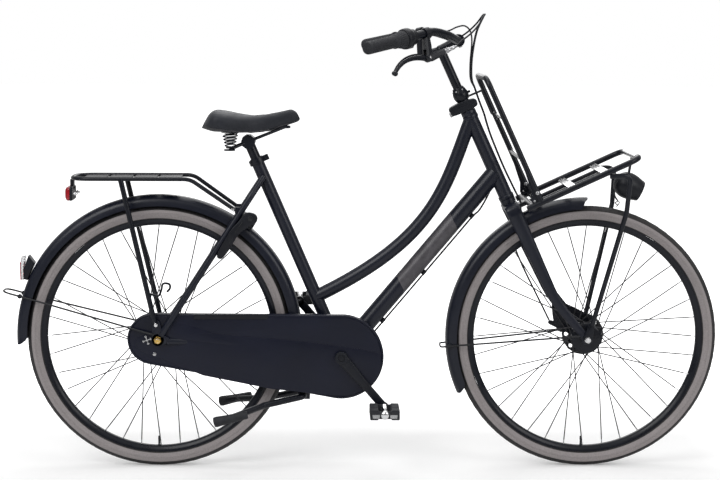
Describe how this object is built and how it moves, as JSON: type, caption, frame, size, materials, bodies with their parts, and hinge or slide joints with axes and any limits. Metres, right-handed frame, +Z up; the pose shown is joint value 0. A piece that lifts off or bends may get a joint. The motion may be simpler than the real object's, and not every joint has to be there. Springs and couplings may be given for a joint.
{
  "type": "dutch city bike",
  "caption": "Low-entry dutch city bike with closed chain case, front carrier with backrest, rear rack, mudguards, sprung saddle and swept-back bar.",
  "frame": {"origin": "middle of the bike's box at the ground under the tyres", "axes": "+X forwards, +Y to the rider's left, +Z up"},
  "size_m": [1.9254, 0.6268, 1.2475],
  "materials": {
    "frame_paint": "satin",
    "case_plastic": "satin",
    "black_plastic": "matte",
    "black_rubber": "matte",
    "tyre_rubber": "matte",
    "black_metal": "semi-gloss",
    "dark_wire": "satin",
    "polished_metal": "polished",
    "steel": "satin",
    "brass": "satin",
    "saddle_cover": "matte",
    "red_lens": "gloss"
  },
  "bodies": {
    "frame": {"main_frame": "frame_paint", "frame_cable": "black_plastic", "bottom_bracket": "steel", "steering_lock": "black_plastic", "rear_mudguard": "frame_paint", "rear_mudguard_stay": "black_plastic", "mudguard_lamp": "red_lens", "rear_rack": "black_metal", "tail_lamp": "red_lens", "chain": "steel", "chain_case_outer": "case_plastic", "chain_case_inner": "case_plastic", "ring_lock": "black_plastic", "seat_clamp": "black_metal", "rear_axle": "brass", "rear_brake": "black_metal"},
    "seat": {"seat_post": "steel", "saddle_clamp": "steel", "saddle_rails": "steel", "saddle_spring_right": "steel", "saddle_spring_left": "steel", "saddle_base": "black_plastic", "saddle_cover": "saddle_cover"},
    "lock_key": {"lock_barrel": "steel"},
    "lock_bow": {"ring_lock_bow": "steel"},
    "stand": {"kickstand": "black_metal"},
    "rear_wheel": {"rear_wheel": "black_metal", "rear_tyre": "tyre_rubber"},
    "sprocket": {"rear_sprocket": "steel"},
    "crankset": {"crank_left": "black_metal", "crank_right": "black_metal", "chainring": "steel"},
    "pedal_right": {"pedal_right": "black_rubber"},
    "pedal_left": {"pedal_left": "black_rubber"},
    "steering": {"fork": "frame_paint", "headset_cap": "black_metal", "stem": "black_metal", "handlebar": "black_metal", "grip_right": "black_rubber", "grip_left": "black_rubber", "shifter_housing": "black_plastic", "brake_bracket_right": "black_plastic", "brake_bracket_left": "black_plastic", "front_mudguard": "frame_paint", "front_mudguard_stay": "dark_wire", "front_carrier": "black_metal", "carrier_slat_rear": "polished_metal", "carrier_slat_front": "polished_metal", "carrier_backrest": "black_metal", "headlamp": "black_plastic", "front_axle": "steel", "front_brake": "steel", "bar_cable_right": "black_plastic", "bar_cable_left": "black_plastic"},
    "shifter": {"twist_shifter": "black_rubber"},
    "lever_right": {"brake_lever_right": "black_metal"},
    "lever_left": {"brake_lever_left": "black_metal"},
    "front_wheel": {"front_wheel": "black_metal", "front_tyre": "tyre_rubber"}
  },
  "joints": [
    {"name": "steering_turn", "type": "hinge", "parent": "frame", "child": "steering", "pos_m": [0.3364, 0, 0.84805], "axis": [-0.4179, 0, 0.9085], "range_deg": [-60, 60], "stiffness_Nm_per_rad": 3},
    {"name": "front_wheel_spin", "type": "hinge", "parent": "steering", "child": "front_wheel", "pos_m": [0.60674, 0, 0.356], "axis": [0, 1, 0], "continuous": true},
    {"name": "rear_wheel_spin", "type": "hinge", "parent": "frame", "child": "rear_wheel", "pos_m": [-0.54326, 0, 0.356], "axis": [0, 1, 0], "continuous": true},
    {"name": "crank_spin", "type": "hinge", "parent": "frame", "child": "crankset", "pos_m": [-0.05376, 0, 0.308], "axis": [0, 1, 0], "continuous": true},
    {"name": "sprocket_spin", "type": "hinge", "parent": "frame", "child": "sprocket", "pos_m": [-0.54326, 0, 0.356], "axis": [0, 1, 0], "continuous": true},
    {"name": "pedal_right_spin", "type": "hinge", "parent": "crankset", "child": "pedal_right", "pos_m": [0.06013, -0.13, 0.17513], "axis": [0, 1, 0], "continuous": true},
    {"name": "pedal_left_spin", "type": "hinge", "parent": "crankset", "child": "pedal_left", "pos_m": [-0.16764, 0.13, 0.44087], "axis": [0, 1, 0], "continuous": true},
    {"name": "lever_right_pull", "type": "hinge", "parent": "steering", "child": "lever_right", "pos_m": [0.16574, -0.15, 1.107], "axis": [-0.7097, 0.6578, -0.2524], "range_deg": [0, 18], "stiffness_Nm_per_rad": 0.8, "springref_deg": -20.05},
    {"name": "lever_left_pull", "type": "hinge", "parent": "steering", "child": "lever_left", "pos_m": [0.16574, 0.15, 1.107], "axis": [0.7097, 0.6578, 0.2524], "range_deg": [0, 18], "stiffness_Nm_per_rad": 0.8, "springref_deg": -20.05},
    {"name": "shifter_twist", "type": "hinge", "parent": "steering", "child": "shifter", "pos_m": [-0.00332, -0.3, 1.13231], "axis": [0.666, 0.7304, 0.1518], "range_deg": [-60, 60]},
    {"name": "key_turn", "type": "hinge", "parent": "frame", "child": "lock_key", "pos_m": [0.23743, 0, 0.95553], "axis": [0.9085, 0, 0.4179], "range_deg": [0, 90]},
    {"name": "lock_bow_slide", "type": "hinge", "parent": "frame", "child": "lock_bow", "pos_m": [-0.34375, 0, 0.63189], "axis": [0.8398, 0, -0.5428], "range_deg": [0, 26]},
    {"name": "stand_fold", "type": "hinge", "parent": "frame", "child": "stand", "pos_m": [-0.15426, 0, 0.1975], "axis": [0, -1, 0], "range_deg": [0, 95]},
    {"name": "seat_height", "type": "slide", "parent": "frame", "child": "seat", "axis": [-0.3987, 0, 0.9171], "range_m": [-0.025, 0.07]}
  ],
  "couplings": [
    {"joint": "sprocket_spin", "follows": "crank_spin", "ratio": 2}
  ]
}
